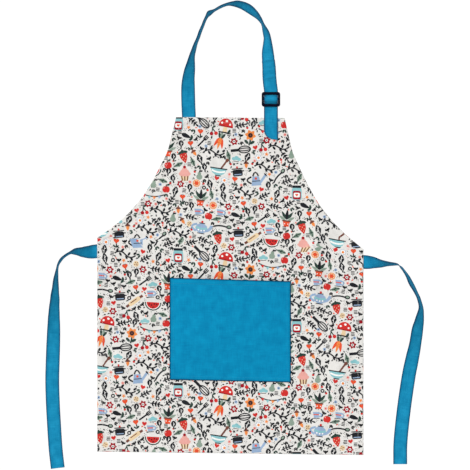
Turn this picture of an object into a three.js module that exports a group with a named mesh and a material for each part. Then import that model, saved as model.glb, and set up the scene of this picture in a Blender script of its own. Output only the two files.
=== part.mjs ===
// A child's bib apron of printed cotton, lying on its back with the print up.
// Millimetres. X runs across the apron, Y from the hem to the neck, Z up from what it lies on.
import * as THREE from 'three';

// The cut of the body
const skirtWidth = 490;
const apronLength = 618;
const bibWidth = 200;
const armholeDrop = 232;
const clothThickness = 1;
const hemThickness = 2;
const hemWidth = 12;
const hemRamp = 2;

// The pocket
const pocketWidth = 223;
const pocketHeight = 187;
const pocketAboveHem = 133;
const pocketPuff = 9;
const pocketMouthHem = 10;
const sideFullness = 2.6;
const footFullness = 3;

// The straps
const strapWidth = 25.5;
const strapThickness = 1.2;
const strapTuck = 15;
const strapInset = 11.1;
const neckLoopRise = 208.5;
const tailLength = 40;
const tailRound = 18;
const tailGap = 0.45;
const tieBelowWaist = 24;
const leftTieReach = 82.6;
const leftTieFall = 399;
const rightTieReach = 105.2;
const rightTieFall = 372;

// The slide buckle and the tab that holds it
const buckleInset = 12.5;
const buckleAboveBib = 34;
const buckleThickness = 2.4;
const sideBarWidth = 4;
const outerBarWidth = 5;
const centreBarWidth = 3;
const slotHeight = 7;
const slotEase = 0.35;
const buckleCorner = 4;
const slotCorner = 1;
const buckleEdge = 0.4;

// The lie of the cloth
const waistSkew = 21;
const foldHeight = 6;
const creaseHeight = 2.4;
const rootEase = 17;
const rootFade = 30;
const pieceGap = 0.3;
const rounding = 1e-6;

// Mesh steps
const panelColumns = 30;
const armholeRows = 13;
const skirtRows = 23;
const pocketColumns = 18;
const pocketRows = 14;
const stepsPerRow = 3;

// The armhole: how far down it, and how far out from the bib's corner, as shares
const armhole = [
  { drop: 0, out: 0 },
  { drop: 0.14, out: 0.053 },
  { drop: 0.26, out: 0.101 },
  { drop: 0.36, out: 0.171 },
  { drop: 0.54, out: 0.317 },
  { drop: 0.7, out: 0.482 },
  { drop: 0.86, out: 0.72 },
  { drop: 1, out: 1 },
];

// How much lower the right side lies than the left: height up the apron, share of the skew
const skewTable = [
  { up: 0, share: 0.3 },
  { up: 0.22, share: 0.5 },
  { up: 0.51, share: 0.68 },
  { up: 1 - armholeDrop / apronLength, share: 1 },
  { up: 1, share: 0.2 },
];

// Soft folds of the body: place and length as shares of the apron, breadth in shares of its width
const bodyFolds = [
  { across: 0.314, up: 0.548, length: 0.4, breadth: 0.03, turn: 2, height: 1 },
  { across: -0.3, up: 0.45, length: 0.44, breadth: 0.055, turn: -7, height: 0.5 },
  { across: 0.4, up: 0.24, length: 0.3, breadth: 0.035, turn: 6, height: 0.55 },
  { across: -0.41, up: 0.2, length: 0.26, breadth: 0.03, turn: -5, height: 0.45 },
  { across: 0.02, up: 0.72, length: 0.2, breadth: 0.05, turn: 55, height: 0.45 },
  { across: -0.02, up: 0.12, length: 0.14, breadth: 0.05, turn: 80, height: 0.4 },
];

// Creases of the pocket: place as shares of the pocket, from its middle and up from its foot
const pocketCreases = [
  { across: -0.26, up: 0.36, length: 0.52, breadth: 0.045, turn: -55, height: 1 },
  { across: 0.25, up: 0.78, length: 0.36, breadth: 0.05, turn: -34, height: -0.7 },
];

// The neck loop from the left root to the buckle: share of the span across, share of the rise up,
// and the lean of the strap from flat, in degrees, its outer edge up
const neckLoop = [
  { across: 0, up: 0, lean: 0 },
  { across: -0.006, up: 0.1, lean: 0 },
  { across: -0.01, up: 0.21, lean: 4 },
  { across: -0.009, up: 0.3, lean: 19 },
  { across: 0.003, up: 0.385, lean: 35 },
  { across: 0.022, up: 0.472, lean: 54 },
  { across: 0.047, up: 0.565, lean: 70 },
  { across: 0.081, up: 0.642, lean: 76 },
  { across: 0.125, up: 0.725, lean: 78 },
  { across: 0.17, up: 0.806, lean: 80 },
  { across: 0.216, up: 0.883, lean: 79 },
  { across: 0.25, up: 0.917, lean: 70 },
  { across: 0.31, up: 0.941, lean: 81 },
  { across: 0.388, up: 0.973, lean: 82 },
  { across: 0.472, up: 0.995, lean: 80 },
  { across: 0.534, up: 1, lean: 72 },
  { across: 0.598, up: 0.996, lean: 61 },
  { across: 0.708, up: 0.966, lean: 54 },
  { across: 0.804, up: 0.913, lean: 61 },
  { across: 0.856, up: 0.871, lean: 72 },
  { across: 0.898, up: 0.824, lean: 78 },
  { across: 0.931, up: 0.764, lean: 67 },
  { across: 0.956, up: 0.7, lean: 60 },
  { across: 0.96, up: 0.636, lean: 46 },
  { across: 0.964, up: 0.549, lean: 29 },
  { across: 0.975, up: 0.462, lean: 18 },
  { across: 0.98, up: 0.37, lean: 6 },
  { across: 0.988, up: 0.3, lean: 0 },
];

// The ties from the side edge: share of the reach out, share of the fall down, and the lean
const leftTie = [
  { out: 0, down: 0, lean: 0 },
  { out: 0.11, down: 0.002, lean: 10 },
  { out: 0.218, down: 0.003, lean: 28 },
  { out: 0.33, down: 0.002, lean: 43 },
  { out: 0.4, down: 0.001, lean: 54 },
  { out: 0.496, down: 0.001, lean: 64 },
  { out: 0.588, down: 0.006, lean: 79 },
  { out: 0.672, down: 0.015, lean: 81 },
  { out: 0.751, down: 0.028, lean: 82 },
  { out: 0.819, down: 0.045, lean: 82 },
  { out: 0.868, down: 0.064, lean: 83 },
  { out: 0.894, down: 0.09, lean: 80 },
  { out: 0.914, down: 0.127, lean: 72 },
  { out: 0.929, down: 0.168, lean: 62 },
  { out: 0.943, down: 0.223, lean: 50 },
  { out: 0.958, down: 0.288, lean: 37 },
  { out: 0.967, down: 0.362, lean: 22 },
  { out: 0.978, down: 0.435, lean: 9 },
  { out: 0.991, down: 0.514, lean: 4 },
  { out: 1, down: 0.597, lean: 0 },
  { out: 0.987, down: 0.698, lean: 0 },
  { out: 0.96, down: 0.8, lean: 0 },
  { out: 0.925, down: 0.91, lean: 0 },
  { out: 0.877, down: 1, lean: 0 },
];
const rightTie = [
  { out: 0, down: 0, lean: 0 },
  { out: 0.085, down: 0.001, lean: 14 },
  { out: 0.168, down: 0.002, lean: 33 },
  { out: 0.307, down: 0.007, lean: 56 },
  { out: 0.449, down: 0.009, lean: 73 },
  { out: 0.588, down: 0.012, lean: 83 },
  { out: 0.65, down: 0.026, lean: 96 },
  { out: 0.698, down: 0.041, lean: 99 },
  { out: 0.774, down: 0.073, lean: 106 },
  { out: 0.832, down: 0.108, lean: 108 },
  { out: 0.903, down: 0.142, lean: 106 },
  { out: 0.961, down: 0.178, lean: 104 },
  { out: 1, down: 0.216, lean: 107 },
  { out: 0.991, down: 0.256, lean: 121 },
  { out: 0.968, down: 0.295, lean: 134 },
  { out: 0.943, down: 0.333, lean: 145 },
  { out: 0.903, down: 0.407, lean: 153 },
  { out: 0.844, down: 0.488, lean: 168 },
  { out: 0.791, down: 0.564, lean: 176 },
  { out: 0.728, down: 0.682, lean: 180 },
  { out: 0.677, down: 0.8, lean: 180 },
  { out: 0.645, down: 0.904, lean: 180 },
  { out: 0.643, down: 1, lean: 180 },
];

// The rounded end of the strap's tail: share of the round behind its tip, share of the width cut off
const tailEnd = [
  { back: 1, cut: 0 },
  { back: 0.6, cut: 0.06 },
  { back: 0.3, cut: 0.2 },
  { back: 0.1, cut: 0.45 },
  { back: 0, cut: 0.8 },
];

// Sizes worked out from the driving ones
const waistHeight = apronLength - armholeDrop;
const skirtHalf = skirtWidth / 2;
const bibHalf = bibWidth / 2;
const strapHalf = strapWidth / 2;
const layer = strapThickness + pieceGap;
const neckRootAcross = -(bibHalf - strapInset - strapHalf);
const buckleAcross = bibHalf - buckleInset - strapHalf;
const barPitch = (centreBarWidth + outerBarWidth) / 2 + slotHeight;
const tabThickness = 2 * strapThickness;
const underBar = tabThickness + pieceGap + strapThickness / 2;
const buckleFoot = underBar + strapThickness / 2 + pieceGap;
const buckleMiddle = buckleFoot + buckleThickness / 2;
const barFlat = (centreBarWidth - buckleThickness) / 2 + buckleEdge;

const { lerp, degToRad, clamp } = THREE.MathUtils;
const smooth = (share) => {
  const t = clamp(share, 0, 1);
  return t * t * (3 - 2 * t);
};

// Reads a column of a table smoothly between its rows
function follow(table, key, column, at) {
  const last = table.length - 1;
  const next = table.findIndex((row) => row[key] > at);
  const i = next === -1 ? last - 1 : Math.max(next - 1, 0);
  const slope = (k) => {
    const a = table[Math.max(k - 1, 0)];
    const b = table[Math.min(k + 1, last)];
    return (b[column] - a[column]) / (b[key] - a[key]);
  };
  const [from, to] = [table[i], table[i + 1]];
  const span = to[key] - from[key];
  const t = clamp((at - from[key]) / span, 0, 1);
  const rise = t * t * (3 - 2 * t);
  const leave = t * (1 - t) * (1 - t) * slope(i);
  const arrive = t * t * (t - 1) * slope(i + 1);
  return lerp(from[column], to[column], rise) + span * (leave + arrive);
}

// Where a point of the cut cloth lies: s across from the middle, t up from the hem
function lie(s, t) {
  const share = follow(skewTable, 'up', 'share', t / apronLength);
  return new THREE.Vector2(s, t - (s / skirtWidth) * waistSkew * share);
}

// Half the width of the cut at a height
function halfWidth(t) {
  const drop = clamp((apronLength - t) / armholeDrop, 0, 1);
  return bibHalf + (skirtHalf - bibHalf) * follow(armhole, 'drop', 'out', drop);
}

// A soft ridge with a rounded section, full over the middle third of its length
function ridge(fold, s, t, width, length) {
  const dx = s - fold.across * width;
  const dy = t - fold.up * length;
  const turn = degToRad(fold.turn);
  const along = dx * Math.sin(turn) + dy * Math.cos(turn);
  const aside = dx * Math.cos(turn) - dy * Math.sin(turn);
  const section = Math.exp(-((aside / (fold.breadth * width)) ** 2));
  return fold.height * section * smooth(1.5 - Math.abs(along) * 3 / (fold.length * length));
}

// How far a point is outside a box of the cut, nought inside it
const outside = (s, t, box) => Math.hypot(
  Math.max(box.left - s, s - box.right, 0),
  Math.max(box.foot - t, t - box.top, 0),
);

// What lies under the body's edge and lifts it
const tieRoot = waistHeight - tieBelowWaist;
const tieBox = { foot: tieRoot - strapHalf, top: tieRoot + strapHalf, lift: layer };
const roots = [
  { left: neckRootAcross - strapHalf, right: neckRootAcross + strapHalf,
    foot: apronLength - strapTuck, top: apronLength, lift: layer },
  { left: buckleAcross - strapHalf, right: buckleAcross + strapHalf,
    foot: apronLength - strapTuck, top: apronLength, lift: tabThickness + pieceGap },
  { ...tieBox, left: -skirtHalf, right: strapTuck - skirtHalf },
  { ...tieBox, left: skirtHalf - strapTuck, right: skirtHalf },
];
const pocketBox = {
  left: -pocketWidth / 2, right: pocketWidth / 2,
  foot: pocketAboveHem, top: pocketAboveHem + pocketHeight,
};

// The height of the body's underside over what it lies on
function bodyUnderside(s, t) {
  const flatHem = smooth((t - hemWidth - hemRamp) / (4 * hemWidth));
  const underPocket = smooth((outside(s, t, pocketBox) - rootEase) / rootFade);
  const folds = bodyFolds.reduce((sum, fold) => sum + ridge(fold, s, t, skirtWidth, apronLength), 0);
  const lifts = roots.map((root) => root.lift * smooth(1 - (outside(s, t, root) - rootEase) / rootFade));
  return Math.max(...lifts) + foldHeight * folds * flatHem * underPocket;
}

// A closed sheet from a grid of points with a lower and an upper height
function sheetGeometry(grid) {
  const rows = grid.length;
  const columns = grid[0].length;
  const positions = [];
  grid.flat().forEach((p) => positions.push(p.x, p.y, p.low));
  grid.flat().forEach((p) => positions.push(p.x, p.y, p.high));
  const upper = rows * columns;
  const at = (i, j) => i * columns + j;
  const faces = [];
  for (let i = 0; i < rows - 1; i += 1) {
    for (let j = 0; j < columns - 1; j += 1) {
      const [a, b, c, d] = [at(i, j), at(i, j + 1), at(i + 1, j + 1), at(i + 1, j)];
      faces.push(a, c, b, a, d, c);
      faces.push(upper + a, upper + b, upper + c, upper + a, upper + c, upper + d);
    }
  }
  const rim = [];
  for (let j = 0; j < columns - 1; j += 1) rim.push(at(0, j));
  for (let i = 0; i < rows - 1; i += 1) rim.push(at(i, columns - 1));
  for (let j = columns - 1; j > 0; j -= 1) rim.push(at(rows - 1, j));
  for (let i = rows - 1; i > 0; i -= 1) rim.push(at(i, 0));
  rim.forEach((a, k) => {
    const b = rim[(k + 1) % rim.length];
    faces.push(a, b, upper + b, a, upper + b, upper + a);
  });
  return meshFrom(positions, faces);
}

function meshFrom(positions, faces) {
  const geometry = new THREE.BufferGeometry();
  geometry.setAttribute('position', new THREE.Float32BufferAttribute(positions, 3));
  geometry.setIndex(faces);
  geometry.computeVertexNormals();
  return geometry;
}

// Even steps from one value to another, without the first
const evenSteps = (from, to, count) => (
  Array.from({ length: count }, (_, k) => lerp(from, to, (k + 1) / count))
);

// The body: rows run from the hem to the bib, columns from the left edge to the right
function panelGeometry() {
  const hemLine = hemWidth + hemRamp;
  const heights = [
    0, hemWidth, hemLine,
    ...evenSteps(hemLine, waistHeight, skirtRows),
    ...evenSteps(waistHeight, apronLength - hemLine, armholeRows),
    apronLength - hemWidth, apronLength,
  ];
  const grid = heights.map((t) => {
    const half = halfWidth(t);
    const lean = t > waistHeight ? halfWidth(t - 1) - halfWidth(t + 1) : 0;
    const slant = Math.hypot(1, lean / 2);
    const inner = half - hemLine * slant;
    const across = [
      -half, -half + hemWidth * slant, -inner,
      ...evenSteps(-inner, inner, panelColumns),
      half - hemWidth * slant, half,
    ];
    return across.map((s) => {
      const place = lie(s, t);
      const inHem = half - Math.abs(s) <= hemWidth * slant + rounding
        || t <= hemWidth || t >= apronLength - hemWidth;
      const low = bodyUnderside(s, t);
      return { x: place.x, y: place.y, low, high: low + (inHem ? hemThickness : clothThickness) };
    });
  });
  return sheetGeometry(grid);
}

// The pocket: sewn flat at its foot and sides, puffed in the middle and open at the mouth
function pocketGeometry() {
  const mouth = pocketBox.top - pocketMouthHem;
  const seat = clothThickness + pieceGap;
  const heights = [pocketBox.foot, ...evenSteps(pocketBox.foot, mouth, pocketRows), pocketBox.top];
  const across = [pocketBox.left, ...evenSteps(pocketBox.left, pocketBox.right, pocketColumns)];
  const grid = heights.map((t) => across.map((s) => {
    const side = 1 - Math.abs((2 * s) / pocketWidth) ** sideFullness;
    const foot = 1 - ((pocketBox.top - t) / pocketHeight) ** footFullness;
    const creases = pocketCreases.reduce(
      (sum, crease) => sum + ridge(crease, s, t - pocketBox.foot, pocketWidth, pocketHeight), 0);
    const place = lie(s, t);
    const turnedIn = t >= mouth ? hemThickness - clothThickness : 0;
    const crown = seat + side * foot * (pocketPuff + creaseHeight * creases);
    return {
      x: place.x, y: place.y,
      low: Math.max(seat, crown - turnedIn), high: crown + clothThickness,
    };
  }));
  return sheetGeometry(grid);
}

// A flat strap through a list of stations: a place, a lean in radians, and the share of its width
// cut off its left edge
function ribbonGeometry(stations, side) {
  const up = new THREE.Vector3(0, 0, 1);
  const positions = [];
  stations.forEach((station, k) => {
    const before = stations[Math.max(k - 1, 0)].place;
    const after = stations[Math.min(k + 1, stations.length - 1)].place;
    const tangent = after.clone().sub(before).normalize();
    const level = up.clone().cross(tangent).normalize();
    const rise = tangent.clone().cross(level);
    const lean = side * station.lean;
    const across = level.clone().multiplyScalar(Math.cos(lean)).addScaledVector(rise, Math.sin(lean));
    const face = tangent.clone().cross(across);
    const edges = [-strapHalf + strapWidth * (station.cut ?? 0), strapHalf];
    const half = strapThickness / 2;
    [[edges[0], -half], [edges[1], -half], [edges[1], half], [edges[0], half]].forEach(([a, f]) => {
      const corner = station.place.clone().addScaledVector(across, a).addScaledVector(face, f);
      positions.push(corner.x, corner.y, corner.z);
    });
  });
  const faces = [];
  for (let k = 0; k < stations.length - 1; k += 1) {
    for (let c = 0; c < 4; c += 1) {
      const [a, b] = [4 * k + c, 4 * k + ((c + 1) % 4)];
      faces.push(a, b, b + 4, a, b + 4, a + 4);
    }
  }
  const end = 4 * (stations.length - 1);
  faces.push(0, 2, 1, 0, 3, 2);
  faces.push(end, end + 1, end + 2, end, end + 2, end + 3);
  return meshFrom(positions, faces);
}

// The height of a leaning strap's middle, with its lower edge on the surface
const restHeight = (lean) => (
  strapHalf * Math.abs(Math.sin(lean)) + (strapThickness / 2) * Math.abs(Math.cos(lean))
);

// Stations along a smooth path through the rows of a table
function pathStations(rows, placeOf) {
  const points = rows.map((row) => {
    const place = placeOf(row);
    return new THREE.Vector3(place.x, place.y, degToRad(row.lean));
  });
  const curve = new THREE.CatmullRomCurve3(points, false, 'catmullrom', 0.5);
  return curve.getPoints((rows.length - 1) * stepsPerRow).map((p) => {
    const lean = clamp(p.z, 0, Math.PI);
    return { place: new THREE.Vector3(p.x, p.y, restHeight(lean)), lean };
  });
}

// The neck strap: out from behind the bib, round the loop, through the buckle and over the bib
function neckStrapGeometry() {
  const span = buckleAcross - neckRootAcross;
  const root = lie(neckRootAcross, apronLength);
  const bibEdge = lie(buckleAcross, apronLength).y;
  const flat = (x, y, z, cut = 0) => ({ place: new THREE.Vector3(x, y, z), lean: 0, cut });
  const tucked = flat(root.x, root.y - strapTuck, strapThickness / 2);
  const loop = pathStations(neckLoop, (row) => (
    { x: root.x + row.across * span, y: root.y + row.up * neckLoopRise }
  ));

  const middle = bibEdge + buckleAboveBib;
  const barEdge = barPitch - outerBarWidth / 2;
  const barRadius = buckleThickness / 2 + pieceGap + strapThickness;
  const bend = barRadius + pieceGap + strapThickness / 2;
  const drop = buckleMiddle - underBar;
  const reach = Math.hypot(barEdge - barFlat, drop);
  const wrap = Math.acos(bend / reach) - Math.atan2(drop, barEdge - barFlat);
  const turnAt = (angle) => [barFlat + bend * Math.cos(angle), buckleMiddle + bend * Math.sin(angle)];
  const [wrapY, wrapZ] = turnAt(wrap);
  const [crownY, crownZ] = turnAt((wrap + Math.PI / 2) / 2);
  const overBar = [
    [barPitch + outerBarWidth, underBar - strapThickness / 2],
    [barPitch + outerBarWidth / 2, underBar], [barEdge, underBar],
    [wrapY, wrapZ], [crownY, crownZ], [barFlat, buckleMiddle + bend],
    [-barFlat, buckleMiddle + bend], [-crownY, crownZ], [-wrapY, wrapZ],
    [-barEdge, underBar], [-barPitch - outerBarWidth / 2, underBar],
  ].map(([y, z]) => flat(buckleAcross, middle + y, z));

  const seat = (y, cut) => {
    const t = Math.min(y + apronLength - bibEdge, apronLength);
    const wall = t >= apronLength - hemWidth - hemRamp ? hemThickness : clothThickness;
    const cloth = Math.max(...[-1, 0, 1].map((k) => bodyUnderside(buckleAcross + k * strapHalf, t)));
    return flat(buckleAcross, y, cloth + wall + tailGap + strapThickness / 2, cut);
  };
  const tip = bibEdge - tailLength;
  const tail = [
    seat(bibEdge + strapThickness + 2 * tailGap), seat(bibEdge - hemWidth / 2),
    seat(bibEdge - hemWidth - hemRamp),
    ...tailEnd.map((row) => seat(tip + row.back * tailRound, row.cut)),
  ];
  return ribbonGeometry([tucked, ...loop, ...overBar, ...tail], 1);
}

// A waist tie, side -1 for the left and 1 for the right
function tieGeometry(table, side, reach, fall) {
  const root = lie(side * skirtHalf, tieRoot);
  const tucked = {
    place: new THREE.Vector3(root.x - side * strapTuck, root.y, strapThickness / 2), lean: 0,
  };
  const path = pathStations(table, (row) => (
    { x: root.x + side * row.out * reach, y: root.y - row.down * fall }
  ));
  return ribbonGeometry([tucked, ...path], side);
}

// A rectangle with round corners, centred on the origin but for its height
function roundedPath(path, width, foot, top, radius) {
  const x = width / 2 - radius;
  path.moveTo(-x, foot);
  path.lineTo(x, foot);
  path.absarc(x, foot + radius, radius, -Math.PI / 2, 0);
  path.lineTo(width / 2, top - radius);
  path.absarc(x, top - radius, radius, 0, Math.PI / 2);
  path.lineTo(-x, top);
  path.absarc(-x, top - radius, radius, Math.PI / 2, Math.PI);
  path.lineTo(-width / 2, foot + radius);
  path.absarc(-x, foot + radius, radius, Math.PI, 1.5 * Math.PI);
  return path;
}

// The slide buckle: a flat frame with two slots and a bar between them
function buckleGeometry() {
  const slotWidth = strapWidth + 2 * slotEase;
  const outer = barPitch + outerBarWidth / 2;
  const frame = roundedPath(new THREE.Shape(), slotWidth + 2 * sideBarWidth, -outer, outer, buckleCorner);
  const nearEdge = centreBarWidth / 2;
  const farEdge = nearEdge + slotHeight;
  frame.holes.push(roundedPath(new THREE.Path(), slotWidth, nearEdge, farEdge, slotCorner));
  frame.holes.push(roundedPath(new THREE.Path(), slotWidth, -farEdge, -nearEdge, slotCorner));
  return new THREE.ExtrudeGeometry(frame, {
    depth: buckleThickness - 2 * buckleEdge, curveSegments: 4, bevelEnabled: true,
    bevelThickness: buckleEdge, bevelSize: buckleEdge, bevelOffset: -buckleEdge, bevelSegments: 1,
  }).translate(0, 0, buckleEdge);
}

// The tab: doubled cloth, round the centre bar and down behind the bib. Its side view lies in Y and Z
function tabGeometry() {
  const hole = buckleThickness / 2 + pieceGap;
  const wall = hole + strapThickness;
  const barEdge = barPitch - outerBarWidth / 2;
  const drop = buckleMiddle - tabThickness;
  const reach = Math.hypot(barEdge - barFlat, drop);
  const leave = Math.PI + Math.atan2(drop, barEdge - barFlat);
  const upper = leave - Math.acos(wall / reach);
  const foot = Math.hypot(barEdge + barFlat, buckleMiddle);
  const lower = Math.PI + Math.atan2(buckleMiddle, barEdge + barFlat) + Math.acos(wall / foot);
  const profile = new THREE.Shape();
  profile.moveTo(-buckleAboveBib - strapTuck, 0);
  profile.lineTo(-barEdge, 0);
  profile.absarc(barFlat, buckleMiddle, wall, lower, Math.PI / 2);
  profile.absarc(-barFlat, buckleMiddle, wall, Math.PI / 2, upper);
  profile.lineTo(-barEdge, tabThickness);
  profile.lineTo(-buckleAboveBib - strapTuck, tabThickness);
  const eye = new THREE.Path();
  eye.absarc(barFlat, buckleMiddle, hole, -Math.PI / 2, Math.PI / 2);
  eye.absarc(-barFlat, buckleMiddle, hole, Math.PI / 2, 1.5 * Math.PI);
  profile.holes.push(eye);
  const cyclic = new THREE.Matrix4().makeBasis(
    new THREE.Vector3(0, 1, 0), new THREE.Vector3(0, 0, 1), new THREE.Vector3(1, 0, 0));
  return new THREE.ExtrudeGeometry(profile, { depth: strapWidth, curveSegments: 6, bevelEnabled: false })
    .translate(0, 0, -strapHalf)
    .applyMatrix4(cyclic);
}

const printedCotton = { color: 0xe2ded6, roughness: 0.9, metalness: 0 };
const blueCotton = { color: 0x158cc0, roughness: 0.85, metalness: 0 };
const blackPlastic = { color: 0x141518, roughness: 0.35, metalness: 0 };

function piece(name, geometry, finish) {
  const mesh = new THREE.Mesh(geometry, new THREE.MeshStandardMaterial(finish));
  mesh.name = name;
  return mesh;
}

const buckleMiddleOnCloth = lie(buckleAcross, apronLength).y + buckleAboveBib;
const tab = piece('buckle_tab', tabGeometry(), blueCotton);
tab.position.set(buckleAcross, buckleMiddleOnCloth, 0);
const buckle = piece('slide_buckle', buckleGeometry(), blackPlastic);
buckle.position.set(buckleAcross, buckleMiddleOnCloth, buckleFoot);

const pieces = new THREE.Group();
pieces.add(
  piece('apron_panel', panelGeometry(), printedCotton),
  piece('pocket', pocketGeometry(), blueCotton),
  piece('neck_strap', neckStrapGeometry(), blueCotton),
  tab,
  buckle,
  piece('tie_left', tieGeometry(leftTie, -1, leftTieReach, leftTieFall), blueCotton),
  piece('tie_right', tieGeometry(rightTie, 1, rightTieReach, rightTieFall), blueCotton),
);

// The origin is the middle of what the apron covers, on the surface it lies on
const covered = new THREE.Box3().setFromObject(pieces);
const centre = covered.getCenter(new THREE.Vector3());
pieces.position.set(-centre.x, -centre.y, -covered.min.z);

const apron = new THREE.Group();
apron.add(pieces);
export default apron;
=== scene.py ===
from bisect import bisect_right
from functools import cache
from math import acos, atan2, ceil, cos, exp, floor, hypot, pi, radians, sin, sqrt
from random import Random

import bmesh
import bpy
import numpy
from mathutils import Matrix, Vector, noise


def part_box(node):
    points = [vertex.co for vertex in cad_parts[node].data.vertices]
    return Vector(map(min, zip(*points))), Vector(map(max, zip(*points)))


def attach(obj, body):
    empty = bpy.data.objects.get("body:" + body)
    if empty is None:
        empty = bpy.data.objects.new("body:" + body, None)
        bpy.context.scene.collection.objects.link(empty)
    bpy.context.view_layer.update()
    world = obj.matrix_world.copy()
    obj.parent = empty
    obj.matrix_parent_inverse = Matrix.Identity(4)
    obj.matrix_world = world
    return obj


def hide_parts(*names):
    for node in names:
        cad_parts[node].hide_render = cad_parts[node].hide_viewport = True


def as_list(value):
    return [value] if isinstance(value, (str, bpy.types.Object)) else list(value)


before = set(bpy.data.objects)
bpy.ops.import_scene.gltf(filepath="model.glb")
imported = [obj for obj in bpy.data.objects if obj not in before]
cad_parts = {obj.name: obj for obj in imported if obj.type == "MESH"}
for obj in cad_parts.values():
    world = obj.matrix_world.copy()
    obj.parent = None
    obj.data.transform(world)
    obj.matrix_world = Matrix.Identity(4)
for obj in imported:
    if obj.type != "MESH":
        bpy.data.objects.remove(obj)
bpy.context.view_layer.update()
mm = 0.001


def addObject(name, data):
    made = bpy.data.objects.new(name, data)
    bpy.context.scene.collection.objects.link(made)
    return made


def meshFrom(bm, name):
    mesh = bpy.data.meshes.new(name)
    bm.to_mesh(mesh)
    bm.free()
    return mesh


# Thickens flat faces: walls, and a second layer that much higher
def raiseFaces(bm, rise):
    grown = bmesh.ops.extrude_face_region(bm, geom=bm.faces[:])["geom"]
    raised = [part for part in grown if isinstance(part, bmesh.types.BMVert)]
    bmesh.ops.translate(bm, verts=raised, vec=(0, 0, rise))


# The photograph looks straight down. Its middle is a little beside the apron's own.
photo = {"pixels": 470, "mmPerPixel": 1.84, "middleAcross": 234.7, "middleDown": 234.8,
         "lens": 600, "sensor": 36}


def placeCamera():
    lens = bpy.data.cameras.new("camera")
    lens.lens = photo["lens"]
    lens.sensor_width = photo["sensor"]
    camera = addObject("camera", lens)
    pixel = photo["mmPerPixel"] * mm
    half = photo["pixels"] / 2
    away = photo["pixels"] * pixel * photo["lens"] / photo["sensor"]
    camera.location = ((half - photo["middleAcross"]) * pixel, (photo["middleDown"] - half) * pixel, away)
    bpy.context.scene.camera = camera
    bpy.context.scene.view_settings.view_transform = "Standard"


placeCamera()
print("camera placed")


# Makes a node of a material with its settings, and numbers or links for its inputs
def addNode(tree, kind, inputs=None, **settings):
    made = tree.nodes.new("ShaderNode" + kind)
    for name, value in settings.items():
        setattr(made, name, value)
    for name, value in (inputs or {}).items():
        if isinstance(value, bpy.types.NodeSocket):
            tree.links.new(value, made.inputs[name])
        else:
            made.inputs[name].default_value = value
    return made


def newMaterial(name):
    material = bpy.data.materials.new(name)
    material.use_nodes = True
    return material, material.node_tree, material.node_tree.nodes["Principled BSDF"]


def addNoise(tree, place, scale, detail=2):
    return addNode(tree, "TexNoise", {"Vector": place, "Scale": scale, "Detail": detail}).outputs[0]


# A colour between two, of which the first may come from another node
def mixColours(tree, share, *colours):
    first, second = ((*c, 1) if isinstance(c, tuple) else c for c in colours)
    return addNode(tree, "Mix", {0: share, 6: first, 7: second}, data_type="RGBA").outputs[2]


# Plain weave: two sets of threads across each other, with thicker and thinner yarns between. The
# colour runs from dark to light over the spread of the yarns and clouds.
weave = {"threadsPerMetre": 1700, "threadRelief": 0.00012, "threadStrength": 0.6, "slubAcross": 42,
         "slubAlong": 900, "slubRelief": 0.0001, "slubStrength": 0.8, "clouds": 55, "cloudShare": 0.45,
         "spread": (0.35, 0.65), "roughness": 0.88, "sheenRoughness": 0.5}


def weaveHeight(tree, uv):
    parts = addNode(tree, "SeparateXYZ", {0: uv})
    waves = []
    for axis in (0, 1):
        angle = addNode(tree, "Math", {0: parts.outputs[axis], 1: 2 * pi * weave["threadsPerMetre"]},
                        operation="MULTIPLY")
        waves.append(addNode(tree, "Math", {0: angle.outputs[0]}, operation="SINE").outputs[0])
    crossed = addNode(tree, "Math", {0: waves[0], 1: waves[1]}, operation="MULTIPLY")
    return crossed.outputs[0]


def slubs(tree, uv, across, along):
    stretched = addNode(tree, "Mapping", {"Vector": uv, "Scale": (across, along, 1)})
    return addNoise(tree, stretched.outputs[0], 1)


def clothMaterial(name, dark, light, edge=None, shine=0.18):
    material, tree, shader = newMaterial(name)
    uv = addNode(tree, "UVMap", uv_map="cloth").outputs[0]
    warp = slubs(tree, uv, weave["slubAlong"], weave["slubAcross"])
    weft = slubs(tree, uv, weave["slubAcross"], weave["slubAlong"])
    yarns = addNode(tree, "Mix", {0: 0.5, 2: warp, 3: weft}).outputs[0]
    clouds = addNoise(tree, uv, weave["clouds"], detail=3)
    both = addNode(tree, "Mix", {0: weave["cloudShare"], 2: yarns, 3: clouds}).outputs[0]
    low, high = weave["spread"]
    spread = addNode(tree, "MapRange", {"Value": both, "From Min": low, "From Max": high}).outputs[0]
    colour = mixColours(tree, spread, dark, light)
    # Painted shade: where a shade colour is given, the edge attribute mixes it into the colour, darker at
    # edges, steep stretches and creases
    if edge:
        paintedShade = addNode(tree, "Attribute", attribute_name="edge").outputs["Fac"]
        colour = mixColours(tree, paintedShade, colour, edge)
    tree.links.new(colour, shader.inputs["Base Color"])
    threads = addNode(tree, "Bump", {"Height": weaveHeight(tree, uv), "Distance": weave["threadRelief"],
                                     "Strength": weave["threadStrength"]})
    relief = addNode(tree, "Bump", {"Height": yarns, "Distance": weave["slubRelief"],
                                    "Strength": weave["slubStrength"], "Normal": threads.outputs[0]})
    tree.links.new(relief.outputs[0], shader.inputs["Normal"])
    shader.inputs["Roughness"].default_value = weave["roughness"]
    shader.inputs["Specular IOR Level"].default_value = shine
    shader.inputs["Sheen Weight"].default_value = shine / 8
    shader.inputs["Sheen Roughness"].default_value = weave["sheenRoughness"]
    return material


whiteCotton = clothMaterial("whiteCotton", (0.67, 0.655, 0.625), (0.805, 0.79, 0.76))
backCotton = clothMaterial("backCotton", (0.55, 0.54, 0.51), (0.64, 0.63, 0.6))
# Each blue cloth's last colour is the painted shade that the edge attribute mixes in
blueCotton = clothMaterial("blueCotton", (0.001, 0.185, 0.38), (0.003, 0.29, 0.52),
                           (0.001, 0.02, 0.055), shine=0.05)
blueStrapping = clothMaterial("blueStrapping", (0.002, 0.175, 0.345), (0.014, 0.3, 0.52),
                              (0.003, 0.04, 0.1), shine=0.06)
print("cloth finishes made")
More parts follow.
